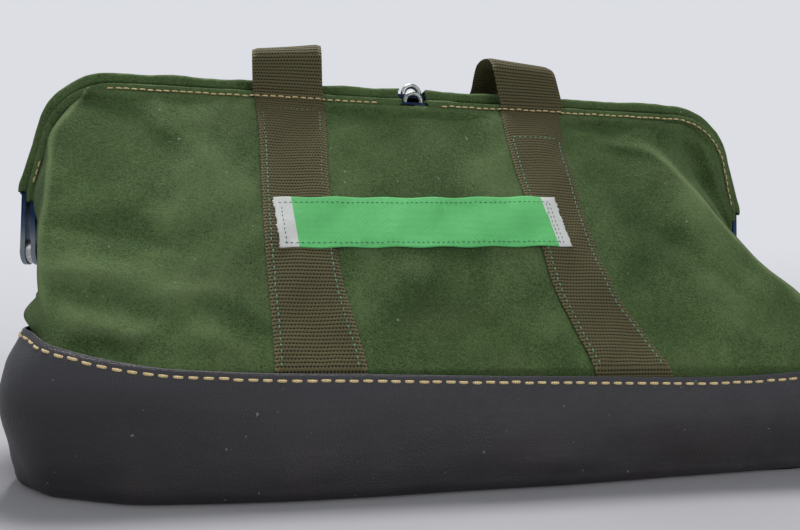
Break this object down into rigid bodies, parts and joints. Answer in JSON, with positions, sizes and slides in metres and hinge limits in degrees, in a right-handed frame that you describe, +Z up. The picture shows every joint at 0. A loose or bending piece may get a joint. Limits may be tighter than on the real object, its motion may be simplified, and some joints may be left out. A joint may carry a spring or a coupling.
{
  "type": "tool bag",
  "caption": "Canvas tool bag with a stiff base band, a hinged steel mouth in canvas sleeves, padlock eyes and webbing grab loops.",
  "frame": {"origin": "centre of the flat underside of the base", "axes": "+X along the bag to the right as seen from the front, -Y towards the front, +Z up"},
  "size_m": [0.582, 0.251, 0.2866],
  "materials": {
    "band": "satin coated fabric",
    "board": "plain hardboard",
    "canvas": "worn brushed canvas",
    "webbing": "ribbed webbing",
    "label": "woven label, bare",
    "bar_steel": "worn blue-grey paint",
    "zinc_steel": "zinc plated"
  },
  "bodies": {
    "base": {"base_tray": "band", "base_board": "board", "front_wall": "canvas", "rear_wall": "canvas", "left_gusset": "canvas", "right_gusset": "canvas", "left_gusset_fold": "canvas", "right_gusset_fold": "canvas", "front_strap_foot_left": "webbing", "front_strap_foot_right": "webbing", "rear_strap_foot_left": "webbing", "rear_strap_foot_right": "webbing"},
    "front_frame": {"front_frame_bar": "bar_steel", "front_sleeve": "canvas", "front_lock_eye": "zinc_steel", "front_upper_wall": "canvas", "front_left_return": "canvas", "front_right_return": "canvas", "front_strap_left": "webbing", "front_strap_right": "webbing", "label": "label", "left_rivet": "zinc_steel", "right_rivet": "zinc_steel"},
    "rear_frame": {"rear_frame_bar": "bar_steel", "rear_sleeve": "canvas", "rear_lock_eye": "zinc_steel", "rear_upper_wall": "canvas", "rear_left_return": "canvas", "rear_right_return": "canvas", "rear_strap_left": "webbing", "rear_strap_right": "webbing", "left_washer": "zinc_steel", "right_washer": "zinc_steel"},
    "front_handle": {"front_grab_loop": "webbing"},
    "rear_handle": {"rear_grab_loop": "webbing"}
  },
  "joints": [
    {"name": "front_frame_hinge", "type": "hinge", "parent": "base", "child": "front_frame", "pos_m": [-0.026, 0.006, 0.136], "axis": [1, 0, 0], "range_deg": [0, 50]},
    {"name": "rear_frame_hinge", "type": "hinge", "parent": "base", "child": "rear_frame", "pos_m": [-0.026, 0.006, 0.136], "axis": [-1, 0, 0], "range_deg": [0, 50]},
    {"name": "front_handle_hinge", "type": "hinge", "parent": "front_frame", "child": "front_handle", "pos_m": [-0.026, -0.01352, 0.2573], "axis": [1, 0, 0], "range_deg": [0, 88]},
    {"name": "rear_handle_hinge", "type": "hinge", "parent": "rear_frame", "child": "rear_handle", "pos_m": [-0.026, 0.02485, 0.2678], "axis": [1, 0, 0], "range_deg": [0, 88]}
  ],
  "couplings": [
    {"joint": "rear_handle_hinge", "follows": "front_handle_hinge", "ratio": 1}
  ]
}
